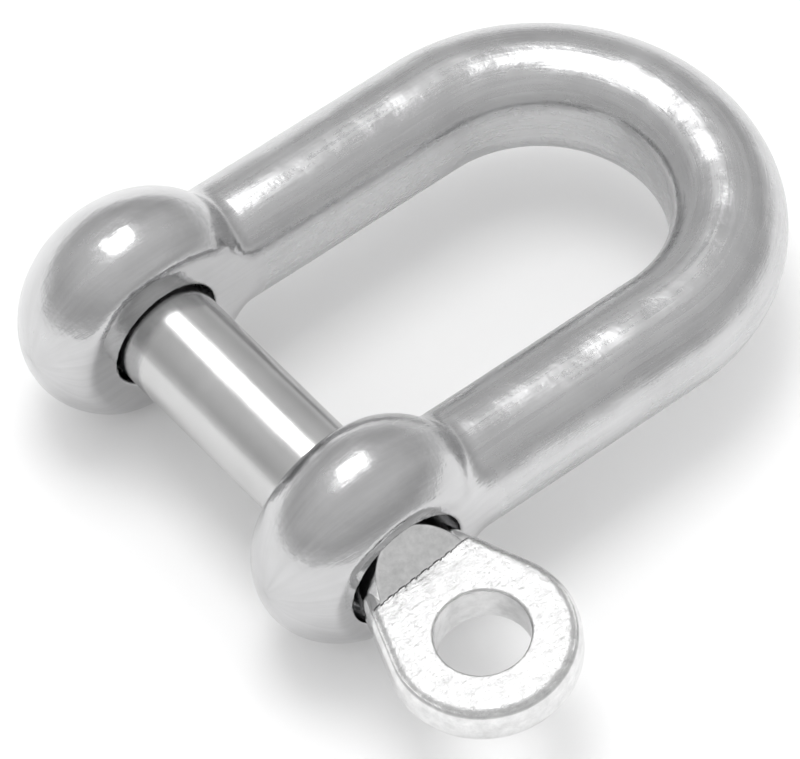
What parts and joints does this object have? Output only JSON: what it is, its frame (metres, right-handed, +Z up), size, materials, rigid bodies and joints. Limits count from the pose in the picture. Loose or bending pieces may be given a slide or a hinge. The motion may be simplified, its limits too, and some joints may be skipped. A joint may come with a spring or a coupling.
{
  "type": "dee shackle",
  "caption": "Straight stainless-steel dee shackle with round ears and a screw pin whose flat eye has a round hole.",
  "frame": {"origin": "bottom centre of the object's box, with the dee lying flat and the pin screwed home", "axes": "+X from the pin towards the crown, +Y along the pin away from its eye, +Z up, square to the plane of the dee"},
  "size_m": [0.064, 0.061, 0.0211],
  "materials": {
    "body_steel": "polished forged stainless steel, slightly hazy along the legs",
    "shank_steel": "turned and polished stainless steel",
    "thread_steel": "cut thread, stainless steel",
    "eye_steel": "forged stainless steel with a rough flat face and a polished rim"
  },
  "bodies": {
    "shackle": {"shackle_body": "body_steel"},
    "pin_travel": {"pin_shank": "shank_steel"},
    "pin": {"pin_thread": "thread_steel", "pin_eye": "eye_steel"}
  },
  "joints": [
    {"name": "pin_advance", "type": "slide", "parent": "shackle", "child": "pin_travel", "axis": [0, -1, 0], "range_m": [0, 0.04575]},
    {"name": "pin_turn", "type": "hinge", "parent": "pin_travel", "child": "pin", "pos_m": [-0.0214, 0.0083, 0.01055], "axis": [0, -1, 0], "range_deg": [0, 10980]}
  ],
  "couplings": [
    {"joint": "pin_turn", "follows": "pin_advance", "rad_per_m": 4188.8}
  ]
}
